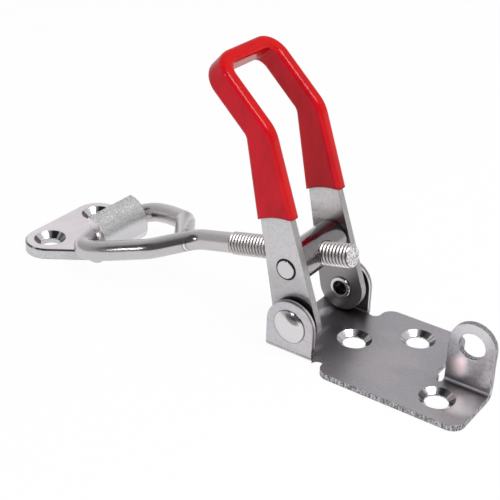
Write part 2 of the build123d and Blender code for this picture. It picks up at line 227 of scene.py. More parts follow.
baseLook = {
    "sheet": 3.0,                                    # thickness, for telling cut edges from faces
    "bendRange": (2.0, 3.5),                         # above the sheet, where the ears and the tab begin
    "topRange": (0.0, 0.3),                          # above the sheet
    "sinkRange": (-0.05, 0.0),                       # above the sheet
    "sideFacing": (0.3, 0.6),                        # across the latch, for the ears' and the tab's faces
    "cutFacing": (0.10, 0.35),                       # upwards, for the sheet's faces
    "sinkFacing": (0.5, 0.7),                        # upwards, for the countersinks' cones
    "sinkFade": (0.85, 0.95),
    "sinkReflectionLight": (0.86, 0.85, 0.86),
    "faceColour": (0.57, 0.55, 0.58),
    "warmColour": (0.65, 0.60, 0.62),
    "warmNoise": ((30.0, 18.0, 30.0), 1.0),
    "warmRange": (0.45, 0.7),
    "warmShare": 0.7,
    "mottleNoise": (1.6, 3.0, 0.65),
    "mottleShare": 0.35,
    "tabMottleShare": 0.7,                           # how much more of it the tab has
    "mottleLevel": 0.83,
    "rolledNoise": ((14.0, 0.35, 0.5), 2.0),
    "rolledRange": (0.3, 0.8),
    "rolledShare": 0.10,
    # the dark of the cut edges and rolling marks, and of the painted shade in corners
    "cutAndShadeDark": (0.08, 0.075, 0.08),
    "cutLight": (0.64, 0.63, 0.64),
    "cutRange": (0.0, 0.4),
    "cutShare": 0.9,
    "gritNoise": (0.55, 3.0, 0.7),
    "gritShare": 0.6,
    "shearNoise": ((0.8, 0.8, 4.0), 2.0),
    "shearShare": 0.4,
    "shearRange": (0.42, 0.60),
    "cornerShadeReach": 36.0,                             # how far the painted shade of corners reaches over the faces round them
    "cornerShadeRange": (0.40, 0.98),
    "shadeColour": (0.16, 0.155, 0.165),
    "shadeReach": 70.0,                              # how far other pieces darken the plate under them
    "shadeRange": (0.25, 0.95),
    "shadeFacing": (0.7, 0.9),                       # upwards
    "shadeShare": 0.9,
    # painted highlight lines along the rims of an ear's edge, with a dark band between them
    "earRimHighlight": (0.88, 0.86, 0.87),
    "earMiddle": (0.24, 0.22, 0.23),
    "earStart": 20.0,                                # how far out the ears' edges begin
    "tabRange": (-2.0, 0.0),                         # beyond the start of the ears, where the tab has ended
    "earRange": (0.0, 1.0),                          # beyond the start of the ears
    "earBandRise": (26.1, 26.6),                     # where the dark line round an ear's edge begins
    "earBandFall": (27.4, 27.8),                     # where it ends
    "earShare": 0.85,
    "earCutShare": 0.5,                              # how much less the ears' edges count as rough cuts
    "notchPlace": (14.0, -27.0, 1.5),                # the sheared gap beside the ear, whose edges get painted shade
    "notchRange": (5.25, 7.5),
    "notchShadeColour": (0.09, 0.07, 0.07),
    "notchShare": 0.85,
    "cloudNoise": (16.0, 3.0),
    "patchWander": 1.2,                              # how far the clouds push a patch's edge, in half sizes
    "patchRange": (0.35, 1.1),
    "patches": [                                     # centre, half sizes, colour and share of each
        # the first is a painted highlight on the foot beside the tab
        ((88.5, -16.5, 3.0), (8.0, 12.0, 3.0), (1.0, 0.99, 1.0), 1.0),
        ((83.0, -3.5, 31.0), (16.0, 3.0, 9.0), (0.78, 0.76, 0.79), 0.8),
        ((78.0, -3.5, 13.0), (5.0, 3.0, 6.5), (0.98, 0.80, 0.82), 0.8),
        ((-4.5, 13.0, 3.0), (4.0, 7.0, 2.0), (0.88, 0.86, 0.87), 0.8),
        ((4.0, -6.5, 3.0), (2.4, 9.0, 2.0), (0.75, 0.73, 0.74), 0.6),
        ((10.5, -18.0, 3.0), (2.2, 6.0, 2.0), (0.62, 0.60, 0.61), 0.5),
    ],
    "roughness": 0.26,
    "cutRoughness": 0.40,
    "cloudDull": 0.08,
    "rolledDull": 0.05,
    "rolledHeight": 0.05,                            # shares of the relief's depth
    "cutHeight": 0.6,
    "reliefDepth": 0.14,
    "edgeRound": 0.45,
}


def plateFaces(graph, look, spot, deep, aboveSheet, nz, clouds, rolled):
    warm = graph.cloud(spot, *look["warmNoise"]).rise(*look["warmRange"])
    face = graph.blend(warm * look["warmShare"], look["faceColour"], look["warmColour"])
    mottle = graph.cloud(spot, *look["mottleNoise"])
    extra = look["tabMottleShare"]
    onTab = aboveSheet * deep.fall(*past(look["earStart"], look["tabRange"]))
    face = face * (mottle * (onTab * extra + look["mottleShare"]) + look["mottleLevel"] - onTab * (extra / 2))
    face = graph.blend(rolled.rise(*look["rolledRange"]) * look["rolledShare"], face, look["cutAndShadeDark"])
    # painted shade: faces darken near corners, and under other pieces
    between = graph.corners(look["cornerShadeReach"], True).fall(*look["cornerShadeRange"])
    beneath = graph.corners(look["shadeReach"], False).fall(*look["shadeRange"])
    beneath = beneath * nz.rise(*look["shadeFacing"])
    face = graph.blend(between * look["shadeShare"], face, look["cutAndShadeDark"])
    face = graph.blend(beneath * look["shadeShare"], face, look["shadeColour"])
    for centre, halfSizes, colour, share in look["patches"]:
        far = graph.ovalReach(spot, centre, halfSizes) + (clouds - 0.5) * look["patchWander"]
        face = graph.blend(far.fall(*look["patchRange"]) * share, face, colour)
    return face


def plateEdges(graph, look, spot, deep, onEar, grit, shear):
    rough = (grit * look["gritShare"] + shear * look["shearShare"]).rise(*look["shearRange"])
    edge = graph.blend(rough, look["cutAndShadeDark"], look["cutLight"])
    # an ear's edge: painted highlight lines along its rims, a dark band between
    band = deep.rise(*look["earBandRise"]) * deep.fall(*look["earBandFall"])
    earRimLines = graph.blend(band, look["earRimHighlight"], look["earMiddle"])
    edge = graph.blend(onEar * look["earShare"], edge, earRimLines)
    # painted shade in the sheared gap beside the ear
    notch = graph.length(spot - look["notchPlace"]).fall(*look["notchRange"])
    return graph.blend(notch * look["notchShare"], edge, look["notchShadeColour"])


def plateSteel(look):
    graph = newFinish("plateSteel")
    spot = graph.place()
    deep, high = graph.axes(spot)[1:]
    deep = deep.size()
    ny, nz = [part.size() for part in graph.axes(graph.normal())[1:]]
    sheet = look["sheet"]
    aboveSheet = high.rise(*past(sheet, look["bendRange"]))
    standingCut = aboveSheet * ny.fall(*look["sideFacing"])
    flatCut = high.fall(*past(sheet, look["topRange"])) * nz.fall(*look["cutFacing"])
    cone = high.fall(*past(sheet, look["sinkRange"]))
    sink = cone * nz.rise(*look["sinkFacing"]) * nz.fall(*look["sinkFade"])
    onEar = standingCut * deep.rise(*past(look["earStart"], look["earRange"]))
    cut = (standingCut + flatCut) * (1.0 - onEar * look["earCutShare"])
    clouds = graph.cloud(spot, *look["cloudNoise"])
    rolled = graph.cloud(spot, *look["rolledNoise"])
    grit = graph.cloud(spot, *look["gritNoise"])
    shear = graph.cloud(spot, *look["shearNoise"])
    face = plateFaces(graph, look, spot, deep, aboveSheet, nz, clouds, rolled)
    edge = plateEdges(graph, look, spot, deep, onEar, grit, shear)
    colour = graph.blend(cut.rise(*look["cutRange"]) * look["cutShare"], face, edge)
    colour = graph.blend(sink, colour, paintSinkReflections(graph, sinkLook, look["sinkReflectionLight"]))
    roughness = look["roughness"] + clouds * look["cloudDull"] + rolled * look["rolledDull"]
    roughness = roughness + cut * (look["cutRoughness"] - look["roughness"])
    roughness = roughness * (1.0 - sink) + sink * sinkLook["roughness"]
    height = rolled * look["rolledHeight"] + cut * (grit + shear) * look["cutHeight"]
    normal = graph.relief(height * (1.0 - sink), look["reliefDepth"], look["edgeRound"])
    return graph.metal(colour, roughness, normal)


# rivets

rivetLook = {
    "pivotHeight": 16.2,
    "head": 9.0,
    "bore": 3.9,
    "boreEnd": 22.5,                                 # how far out the bore reaches across the latch
    "boreSideRange": (0.0, 0.3),                     # beyond the bore's radius
    "boreEndRange": (0.0, 1.0),                      # beyond the bore's end
    "domeRange": (4.0, 5.0),                         # beyond the bore's end
    "colour": (0.72, 0.71, 0.72),
    "scuffNoise": ((0.4, 3.0, 0.4), 2.0),
    "scuffRange": (0.45, 0.75),
    "scuffShare": 0.12,
    "boreShadeAndScuffColour": (0.10, 0.07, 0.06),                # painted shade inside the bore; the scuffs' colour too
    "boreShare": 0.9,
    "creaseRange": (-0.9, -0.3),                     # beyond the head's edge
    "creaseSide": (0.80, 0.60),                      # the side of the dome whose crease gets the painted dark reflection, as x and z
    "creaseTurn": (-0.2, 0.5),
    "creaseShare": 0.85,
    "darkReflectionPlace": (1.9, 5.4),                       # from the pivot, as x and z
    "darkReflectionAlong": (0.90, -0.44),
    "darkReflectionSize": (5.2, 1.9),                        # half its length and half its width
    "darkReflectionRange": (0.55, 1.0),
    "darkReflectionShare": 0.8,
    "darkReflectionColour": (0.16, 0.145, 0.15),             # painted dark reflection, on the dome and in its crease
    "roughness": 0.13,
    "peenNoise": (2.4, 2.0),
    "peenDull": 0.06,
    "reliefDepth": 0.02,
    "edgeRound": 0.5,
}


def darkReflectionReach(look, sideways, high):               # 0 in the middle of the dome's painted dark reflection, 1 on its edge
    darkReflectionX, darkReflectionZ = look["darkReflectionPlace"]
    alongX, alongZ = look["darkReflectionAlong"]
    length, width = look["darkReflectionSize"]
    lengthwise = ((sideways - darkReflectionX) * alongX + (high - darkReflectionZ) * alongZ) / length
    crosswise = ((high - darkReflectionZ) * alongX - (sideways - darkReflectionX) * alongZ) / width
    return distance(lengthwise, crosswise)


def rivetSteel(look):
    graph = newFinish("rivetSteel")
    spot = graph.place()
    sideways, deep, high = graph.axes(spot)
    deep = deep.size()
    high = high - look["pivotHeight"]
    far = distance(sideways, high)
    scuffs = graph.cloud(spot, *look["scuffNoise"]).rise(*look["scuffRange"])
    colour = graph.blend(scuffs * look["scuffShare"], look["colour"], look["boreShadeAndScuffColour"])
    # painted shade inside the rivet's bore
    atBore = deep.fall(*past(look["boreEnd"], look["boreEndRange"]))
    inside = atBore * far.fall(*past(look["bore"], look["boreSideRange"]))
    colour = graph.blend(inside * look["boreShare"], colour, look["boreShadeAndScuffColour"])
    onDome = deep.rise(*past(look["boreEnd"], look["domeRange"]))
    # painted dark reflection in the crease on one side of the dome, and in a crescent on the dome
    creaseX, creaseZ = look["creaseSide"]
    towards = (sideways * creaseX + high * creaseZ) / far
    crease = far.rise(*past(look["head"], look["creaseRange"])) * towards.rise(*look["creaseTurn"])
    colour = graph.blend(crease * onDome * look["creaseShare"], colour, look["darkReflectionColour"])
    darkReflection = darkReflectionReach(look, sideways, high).fall(*look["darkReflectionRange"])
    colour = graph.blend(darkReflection * onDome * look["darkReflectionShare"], colour, look["darkReflectionColour"])
    peened = graph.cloud(spot, *look["peenNoise"])
    roughness = look["roughness"] + peened * look["peenDull"]
    normal = graph.relief(peened, look["reliefDepth"], look["edgeRound"])
    return graph.metal(colour, roughness, normal)


# handle strap

strapLook = {
    "sideFacing": (0.3, 0.6),                        # across the latch, for the strap's faces
    "faceColour": (0.58, 0.57, 0.58),
    "warmColour": (0.62, 0.58, 0.59),
    "cloudNoise": (14.0, 3.0),
    "warmRange": (0.4, 0.65),
    "warmShare": 0.7,
    "mottleNoise": (1.8, 4.0, 0.7),
    "mottleShare": 0.5,
    "mottleLevel": 0.76,
    "paintedDarkColour": (0.30, 0.285, 0.295),
    "paintedDarkRange": (0.5, 1.1),
    "paintedDarkPlaces": [                                  # centre, half sizes and share of each patch: a painted dark reflection low on the far leg's inner face, and painted shade above the near ear
        ((-4.0, 19.0, 24.0), (22.0, 4.0, 22.0), 0.9),
        ((-6.0, -23.0, 33.0), (18.0, 4.0, 13.0), 0.35),
    ],
    "cornerShadeColour": (0.10, 0.10, 0.10),
    "cornerShadeReach": 28.0,
    "cornerShadeRange": (0.25, 0.95),
    "cornerShadeShare": 0.8,
    "rimColour": (0.20, 0.15, 0.13),
    "rimRange": (0.005, 0.10),
    "rimShare": 0.55,
    "gapPlace": (-6.62, 43.16),                      # the painted shade of the gap round the barrel's spigot, as x and z
    "gapRadius": 5.6,
    "gapRange": (-0.15, 0.15),                       # beyond its radius
    "gapShadeColour": (0.012, 0.011, 0.012),
    "gritNoise": (0.5, 3.0, 0.7),
    "gritRange": (0.3, 0.7),
    "edgeDark": (0.24, 0.23, 0.23),
    "edgeLight": (0.56, 0.55, 0.55),
    "edgeShare": 0.85,
    "rolledNoise": ((0.5, 0.5, 16.0), 2.0),
    "roughness": 0.22,
    "cloudDull": 0.06,
    "rolledDull": 0.02,
    "cutDull": 0.12,
    "rolledHeight": 0.012,                           # shares of the relief's depth
    "cutHeight": 0.5,
    "reliefDepth": 0.10,
    "edgeRound": 0.5,
}


def strapSteel(look):
    graph = newFinish("strapSteel")
    spot = graph.place()
    sideways, high = graph.axes(spot)[::2]
    cut = graph.axes(graph.normal())[1].size().fall(*look["sideFacing"])
    clouds = graph.cloud(spot, *look["cloudNoise"])
    rolled = graph.cloud(spot, *look["rolledNoise"])
    grit = graph.cloud(spot, *look["gritNoise"])
    mottle = graph.cloud(spot, *look["mottleNoise"])
    warm = clouds.rise(*look["warmRange"]) * look["warmShare"]
    face = graph.blend(warm, look["faceColour"], look["warmColour"])
    face = face * (mottle * look["mottleShare"] + look["mottleLevel"])
    # painted dark patches: a reflection of the dark base, and shade
    for centre, halfSizes, share in look["paintedDarkPlaces"]:
        paintedDark = graph.ovalReach(spot, centre, halfSizes).fall(*look["paintedDarkRange"])
        face = graph.blend(paintedDark * share, face, look["paintedDarkColour"])
    # painted shade near corners and other pieces
    shadeFromOcclusion = graph.corners(look["cornerShadeReach"], False).fall(*look["cornerShadeRange"])
    face = graph.blend(shadeFromOcclusion * look["cornerShadeShare"], face, look["cornerShadeColour"])
    rimmed = graph.rim(look["edgeRound"]).rise(*look["rimRange"]) * (1.0 - cut)
    face = graph.blend(rimmed * look["rimShare"], face, look["rimColour"])
    # painted shade in the gap round the barrel's spigot
    gapX, gapZ = look["gapPlace"]
    gap = distance(sideways - gapX, high - gapZ).fall(*past(look["gapRadius"], look["gapRange"]))
    face = graph.blend(gap, face, look["gapShadeColour"])
    edge = graph.blend(grit.rise(*look["gritRange"]), look["edgeDark"], look["edgeLight"])
    colour = graph.blend(cut * look["edgeShare"], face, edge)
    roughness = look["roughness"] + clouds * look["cloudDull"] + rolled * look["rolledDull"]
    roughness = roughness + cut * look["cutDull"]
    height = rolled * look["rolledHeight"] + cut * grit * look["cutHeight"]
    normal = graph.relief(height, look["reliefDepth"], look["edgeRound"])
    return graph.metal(colour, roughness, normal)


# dipped sleeve

sleeveLook = {
    "colour": (0.60, 0.0020, 0.0030),
    "sideColourAndSheen": (0.69, 0.0040, 0.0180),            # painted reflection of the white floor: a lighter, pinker red on the faces across the latch
    "sideFacing": (0.4, 0.85),
    "deepColour": (0.44, 0.002, 0.006),
    "runNoise": ((7.0, 7.0, 22.0), 2.0),
    "runRange": (0.35, 0.75),
    "runShare": 0.6,
    "insideColour": (0.26, 0.003, 0.010),            # where little light reaches
    "insideReach": 60.0,
    "insideRange": (0.35, 0.85),
    "insideShare": 0.8,
    "poreNoise": (1.1, 2.0),
    "poreRange": (0.5, 0.8),
    "roughness": 0.30,
    "poreDull": 0.08,
    "runDull": 0.06,
    "runHeight": 0.8,                                # shares of the relief's depth
    "poreHeight": 0.10,
    "reliefDepth": 0.25,
    "edgeRound": 2.8,
    "refraction": 1.10,
    "coat": 0.55,
    "coatRoughness": 0.14,
    "coatRefraction": 1.4,
}


def redDip(look):
    graph = newFinish("redDip")
    spot = graph.place()
    runs = graph.cloud(spot, *look["runNoise"])
    pores = graph.cloud(spot, *look["poreNoise"])
    across = graph.axes(graph.normal())[1].size().rise(*look["sideFacing"])
    # painted reflection: the faces across the latch lighter and pinker
    colour = graph.blend(across, look["colour"], look["sideColourAndSheen"])
    colour = graph.blend(runs.rise(*look["runRange"]) * look["runShare"], colour, look["deepColour"])
    shadeFromOcclusion = graph.corners(look["insideReach"], False).fall(*look["insideRange"])
    colour = graph.blend(shadeFromOcclusion * look["insideShare"], colour, look["insideColour"])
    roughness = look["roughness"] + pores * look["poreDull"] + runs * look["runDull"]
    height = runs * look["runHeight"] + pores.rise(*look["poreRange"]) * look["poreHeight"]
    return graph.finish({
        "Base Color": colour,
        "Roughness": roughness,
        "Normal": graph.relief(height, look["reliefDepth"], look["edgeRound"]),
        "IOR": look["refraction"],
        "Coat IOR": look["coatRefraction"],
        "Coat Weight": look["coat"],
        "Coat Roughness": look["coatRoughness"],
    })


# barrel nut

barrelLook = {
    "colour": (0.50, 0.48, 0.49),
    "topDarkReflection": (0.38, 0.36, 0.37),
    "topFacing": (-0.3, 0.35),                       # upwards, where the painted dark reflection begins
    "grooveColour": (0.22, 0.21, 0.21),
    "ringNoise": ((40.0, 0.3, 40.0), 2.0),
    "ringRange": (0.35, 0.75),
    "ringShare": 0.4,
    "pinColour": (0.64, 0.63, 0.64),
    "legOuter": 23.0,                                # the legs' outer faces, from the middle
    "pinRange": (-0.3, -0.1),                        # beyond those faces
    "cloudNoise": (9.0, 2.0),
    "roughness": 0.10,
    "ringDull": 0.05,
    "cloudDull": 0.04,
    "reliefDepth": 0.02,
    "edgeRound": 0.3,
}


def turnedSteel(look):
    graph = newFinish("turnedSteel")
    spot = graph.place()
    rings = graph.cloud(spot, *look["ringNoise"])
    clouds = graph.cloud(spot, *look["cloudNoise"])
    # painted dark reflection: the barrel's upper side darker
    upwards = graph.axes(graph.normal())[2].rise(*look["topFacing"])
    colour = graph.blend(upwards, look["colour"], look["topDarkReflection"])
    colour = graph.blend(rings.rise(*look["ringRange"]) * look["ringShare"], colour, look["grooveColour"])
    onPin = graph.axes(spot)[1].size().rise(*past(look["legOuter"], look["pinRange"]))
    colour = graph.blend(onPin, colour, look["pinColour"])
    roughness = look["roughness"] + rings * look["ringDull"] + clouds * look["cloudDull"]
    normal = graph.relief(rings, look["reliefDepth"], look["edgeRound"])
    return graph.metal(colour, roughness, normal)


# keeper

keeperLook = {
    "sheet": 6.0,
    "hookRange": (7.0, 9.0),                         # above the sheet, where the hook's curl begins
    "bendFacing": (0.15, 0.40),                      # upwards, for the curl's top
    "edgeFacing": (0.4, 0.7),                        # across the latch, for the curl's edges
    "topRange": (0.0, 0.2),                          # above the sheet
    "sideFacing": (0.3, 0.6),                        # upwards, for the plate's faces
    "sinkHeight": (2.4, 2.8),                        # where the countersinks' cones begin
    "sinkFacing": (0.5, 0.65),                       # upwards, for those cones
    "sinkFade": (0.80, 0.95),
    "sinkSides": (0.75, 0.9),                        # along the latch
    "sinkReflectionLight": (0.92, 0.90, 0.91),
    "faceColour": (0.92, 0.86, 0.89),
    "shadeColour": (0.82, 0.77, 0.80),
    "cloudNoise": (12.0, 2.0),
    "shadeRange": (0.35, 0.7),
    "shadeShare": 0.6,
    "frontColour": (1.0, 0.99, 1.0),                 # the end away from the hook
    "frontPlace": (-192.0, -178.0),
    "frontWander": 8.0,                              # how far the clouds push its edge
    "wallColour": (0.68, 0.67, 0.69),                # the curl's outer face
    "wallRange": (1.0, 3.0),                         # above the sheet
    "wallFacing": (0.4, 0.7),                        # along the latch
    "sideColourAndSheen": (0.55, 0.55, 0.56),
    "sideGrain": (0.45, 0.60),
    "sideGrainShare": 0.35,
    "rimColour": (0.22, 0.21, 0.22),
    "rimRange": (0.01, 0.12),
    "rimShare": 0.4,
    "gritNoise": (0.75, 3.0, 0.8),
    "grainDark": (0.42, 0.42, 0.42),
    "grainLight": (1.0, 1.0, 1.0),
    "grainRange": (0.40, 0.60),
    "shadedGrainLight": (0.78, 0.78, 0.78),             # painted shade: the grain's light colour, dimmer on the parts of the curl that face less upwards
    "shadedGrainRange": (0.40, 0.65),
    "grainFacing": (0.72, 0.80),
    "bendShare": 0.8,
    "edgeShare": 0.35,
    "roughness": 0.30,
    "cloudDull": 0.06,
    "bendDull": 0.10,
    "cutHeight": 0.25,                               # as a share of the curl's
    "reliefDepth": 0.30,
    "edgeRound": 0.9,
}


def keeperGrain(graph, look, grit, upwards):
    grain = graph.blend(grit.rise(*look["grainRange"]), look["grainDark"], look["grainLight"])
    shadedGrain = graph.blend(grit.rise(*look["shadedGrainRange"]), look["grainDark"], look["shadedGrainLight"])
    # painted shade: the grain dimmer where the curl faces less upwards
    return graph.blend(upwards.rise(*look["grainFacing"]), shadedGrain, grain)


def keeperSteel(look):
    graph = newFinish("keeperSteel")
    spot = graph.place()
    sideways, high = graph.axes(spot)[::2]
    facing = graph.axes(graph.normal())
    nx, ny, nz = [part.size() for part in facing]
    sheet = look["sheet"]
    onHook = high.rise(*past(sheet, look["hookRange"]))
    bent = onHook * facing[2].rise(*look["bendFacing"])
    below = high.fall(*past(sheet, look["topRange"]))
    side = below * nz.fall(*look["sideFacing"])
    cut = onHook * ny.rise(*look["edgeFacing"]) + side
    cone = below * high.rise(*look["sinkHeight"]) * nz.rise(*look["sinkFacing"]) * nz.fall(*look["sinkFade"])
    sink = cone * nx.fall(*look["sinkSides"])
    grit = graph.cloud(spot, *look["gritNoise"])
    clouds = graph.cloud(spot, *look["cloudNoise"])
    shade = clouds.rise(*look["shadeRange"]) * look["shadeShare"]
    colour = graph.blend(shade, look["faceColour"], look["shadeColour"])
    front = (sideways + clouds * look["frontWander"]).fall(*look["frontPlace"])
    colour = graph.blend(front, colour, look["frontColour"])
    wall = high.rise(*past(sheet, look["wallRange"])) * nx.rise(*look["wallFacing"])
    colour = graph.blend(wall, colour, look["wallColour"])
    sideGrit = grit.rise(*look["sideGrain"]) * look["sideGrainShare"]
    colour = graph.blend(side, colour, graph.blend(sideGrit, look["sideColourAndSheen"], look["grainLight"]))
    colour = graph.blend(sink, colour, paintSinkReflections(graph, sinkLook, look["sinkReflectionLight"]))
    rimmed = graph.rim(look["edgeRound"]).rise(*look["rimRange"]) * (1.0 - bent) * (1.0 - sink)
    colour = graph.blend(rimmed * look["rimShare"], colour, look["rimColour"])
    grained = bent * look["bendShare"] + cut * onHook * look["edgeShare"]
    colour = graph.blend(grained, colour, keeperGrain(graph, look, grit, facing[2]))
    roughness = look["roughness"] + clouds * look["cloudDull"] + bent * look["bendDull"]
    roughness = roughness * (1.0 - sink) + sink * sinkLook["roughness"]
    height = grit * (bent + cut * look["cutHeight"])
    normal = graph.relief(height, look["reliefDepth"], look["edgeRound"])
    return graph.metal(colour, roughness, normal)


# eye bolt

boltLook = {
    "colour": (0.60, 0.575, 0.585),
    "drawnColour": (0.46, 0.44, 0.45),
    "drawnNoise": ((9.0, 0.5, 0.5), 2.0),
    "drawnRange": (0.4, 0.8),
    "drawnShare": 0.35,
    "crestColour": (0.76, 0.73, 0.73),
    # painted shade in the thread's roots
    "rootShadeColour": (0.14, 0.12, 0.12),
    "rootRange": (0.98, 0.45),                       # below the crest, as shares of the thread's depth
    "threadStart": -23.9,                            # the thread's two ends, from the barrel's centre
    "threadEnd": 47.6,
    "threadStartRange": (0.0, 1.0),                  # beyond its start
    "threadEndRange": (-0.8, 0.0),                   # beyond its end
    "threadDull": 0.22,                              # how much rougher the thread is than the rod
    "sawnDark": (0.34, 0.33, 0.34),                  # the thread's end face
    "sawnLight": (1.0, 0.99, 1.0),
    "sawnRange": (-0.05, 0.25),                      # beyond the thread's start
    "sawnDull": 1.5,                                 # how much rougher the end face is than the thread
    "sawNoise": ((1.2, 1.6, 0.7), 3.0, 0.7),
    "sawRange": (0.36, 0.60),
    "markPlace": 73.8,                               # a pressed mark on the rod's lower side, beside the weld, painted as shade with a highlight along its middle
    "markWidth": 1.1,
    "markNoise": (2.5, 2.0),
    "markWander": 1.2,                               # how far the noise pushes its edge
    "markRange": (0.6, 1.0),                         # in widths from its middle
    "markCore": (0.25, 0.5),
    "markFacing": (0.3, 0.7),                        # upwards, where the mark has ended
    "markShare": 0.8,
    "markShade": (0.30, 0.26, 0.27),
    "markHighlight": (0.86, 0.82, 0.83),
    "cloudNoise": (10.0, 2.0),
    "roughness": 0.15,
    "drawnDull": 0.06,
    "cloudDull": 0.06,
    "drawnHeight": 0.1,                              # as a share of the saw marks' depth
    "reliefDepth": 0.3,
    "radius": 6.0,
    "pitch": 1.9,
    "depth": 0.95,                                   # crest to root
    "chamfer": 0.6,
    "profile": [                                     # shares of the pitch, and of the way from root to crest
        (0.0, 0.0), (0.14, 0.0), (0.24, 0.25), (0.44, 0.94), (0.50, 1.0), (0.60, 1.0), (0.66, 0.94),
        (0.86, 0.25), (0.96, 0.0),
    ],
    "turnSteps": 40,
    "endSides": 48,
    "endGap": 0.01,                                  # how far the flat ends stand off the helix
    "endInset": 0.02,                                # how far inside its edge they lie
    "ringPoints": 16,                                # a ring of the CAD's thread has at least so many
    "ringPlay": 0.05,                                # how near to the radius its points lie
    "mergeGap": 0.001,                               # nearer points of the CAD's mesh are joined
    "cutPlay": 0.02,                                 # how far past the thread's end a plain face may reach
    "seamAngle": 20.0,                               # degrees; a sharper edge belongs to the weld's seam
    "sharpAngle": 38.0,
    "beadRadius": 1.1,
    "beadStep": 0.5,
    "beadSides": 12,
    "beadLump": 1.1,                                 # the size of its lumps, and their height in radii
    "beadLumpHeight": 0.45,
}


def rodSteel(look):
    graph = newFinish("rodSteel")
    spot = graph.place()
    drawn = graph.cloud(spot, *look["drawnNoise"])
    clouds = graph.cloud(spot, *look["cloudNoise"])
    drawnMarks = drawn.rise(*look["drawnRange"]) * look["drawnShare"]
    colour = graph.blend(drawnMarks, look["colour"], look["drawnColour"])
    centre, along = boltLine()
    arm = spot - tuple(centre / millimetre)
    far = graph.dot(arm, tuple(along))
    reach = graph.length(arm)
    out = (reach * reach - far * far) ** 0.5
    beforeEnd = far.fall(*past(look["threadEnd"], look["threadEndRange"]))
    threaded = beforeEnd * far.rise(*past(look["threadStart"], look["threadStartRange"]))
    # painted shade, darkening the thread towards its roots
    root = out.fall(*[look["radius"] - look["depth"] * share for share in look["rootRange"]])
    colour = graph.blend(threaded, colour, graph.blend(root, look["crestColour"], look["rootShadeColour"]))
    # the pressed mark: painted shade with a painted highlight along its middle
    wander = (graph.cloud(spot, *look["markNoise"]) - 0.5) * look["markWander"]
    markOff = (far + wander - look["markPlace"]).size() / look["markWidth"]
    mark = markOff.fall(*look["markRange"]) * graph.axes(graph.normal())[2].fall(*look["markFacing"])
    markColour = graph.blend(markOff.rise(*look["markCore"]), look["markHighlight"], look["markShade"])
    colour = graph.blend(mark * look["markShare"], colour, markColour)
    sawn = far.fall(*past(look["threadStart"], look["sawnRange"]))
    sawMarks = graph.cloud(spot, *look["sawNoise"])
    sawnColour = graph.blend(sawMarks.rise(*look["sawRange"]), look["sawnDark"], look["sawnLight"])
    colour = graph.blend(sawn, colour, sawnColour)
    roughness = look["roughness"] + drawn * look["drawnDull"] + clouds * look["cloudDull"]
    roughness = roughness + (threaded + sawn * look["sawnDull"]) * look["threadDull"]
    normal = graph.relief(drawn * look["drawnHeight"] + sawn * sawMarks, look["reliefDepth"], None)
    return graph.metal(colour, roughness, normal)


def boltLine():                                      # the barrel's centre, and the way along the bolt from it
    joints = {joint["name"]: joint for joint in frame["joints"]}
    centre = Vector(joints["barrel_pivot"]["pos_m"])
    return centre, Vector(joints["eye_bolt_adjust"]["axis"]).normalized()


def threadReach(mesh, look):                         # where the CAD's plain thread begins and ends
    centre, along = boltLine()
    rings = {}                                       # how many points lie on its outside at each place
    for vertex in mesh.vertices:
        arm = vertex.co - centre
        far = arm.dot(along)
        out = (arm - along * far).length
        if abs(out - look["radius"] * millimetre) < look["ringPlay"] * millimetre:
            place = round(far / millimetre, 1)
            rings[place] = rings.get(place, 0) + 1
    places = [place for place, count in rings.items() if count >= look["ringPoints"]]
    return (min(places) - look["chamfer"]) * millimetre, (max(places) + look["chamfer"]) * millimetre


def addThread(bm, look, start, end):
    centre, along = boltLine()
    across = Vector((0.0, 1.0, 0.0))
    up = along.cross(across)
    pitch = look["pitch"] * millimetre
    crest = look["radius"] * millimetre
    depth = look["depth"] * millimetre
    root = crest - depth
    rim = crest - look["chamfer"] * millimetre
    steps = look["turnSteps"]
    turns = math.ceil((end - start) / pitch) + 2

    def around(far, angle, radius):
        return centre + along * far + (across * math.cos(angle) + up * math.sin(angle)) * radius

    def point(turn, share, height):                  # on the helix, held within the chamfered ends
        far = start - pitch + (turn / steps + share) * pitch
        far = min(max(far, start), end)
        radius = min(root + height * depth, rim + min(far - start, end - far))
        return around(far, 2 * math.pi * turn / steps, radius)

    rows = []
    for turn in range(turns * steps):
        rows.append([bm.verts.new(point(turn, share, height)) for share, height in look["profile"]])
    for turn in range((turns - 1) * steps - 1):
        ring = rows[turn] + [rows[turn + steps][0]]
        ringAhead = rows[turn + 1] + [rows[turn + steps + 1][0]]
        for low in range(len(ring) - 1):
            corners = [ring[low], ring[low + 1], ringAhead[low + 1], ringAhead[low]]
            if len({tuple(corner.co) for corner in corners}) > 2:
                bm.faces.new(corners)
    gap = look["endGap"] * millimetre
    endRadius = rim - look["endInset"] * millimetre
    sides = look["endSides"]
    for far, way in ((start, -1), (end, 1)):         # flat ends, facing outwards
        angles = [-way * 2 * math.pi * step / sides for step in range(sides)]
        bm.faces.new([bm.verts.new(around(far + way * gap, angle, endRadius)) for angle in angles])


# the sharp seam where the rod's end meets its side, in order
def seamPoints(bm, look, beyond):
    centre, along = boltLine()
    seam = {}
    for edge in bm.edges:
        sharp = len(edge.link_faces) == 2 and edge.calc_face_angle() > math.radians(look["seamAngle"])
        if sharp and all((end.co - centre).dot(along) > beyond for end in edge.verts):
            for end in edge.verts:
                seam.setdefault(end, []).append(edge.other_vert(end))
    loops = []
    left = sorted(seam, key=lambda vert: vert.co.z, reverse=True)
    while left:                                      # each starts at its highest open end or point
        here = next((vert for vert in left if len(seam[vert]) == 1), left[0])
        loop = []
        while here is not None:
            loop.append(here.co.copy())
            left.remove(here)
            here = next((vert for vert in seam[here] if vert in left), None)
        loops.append(loop)
    return max(loops, key=len)


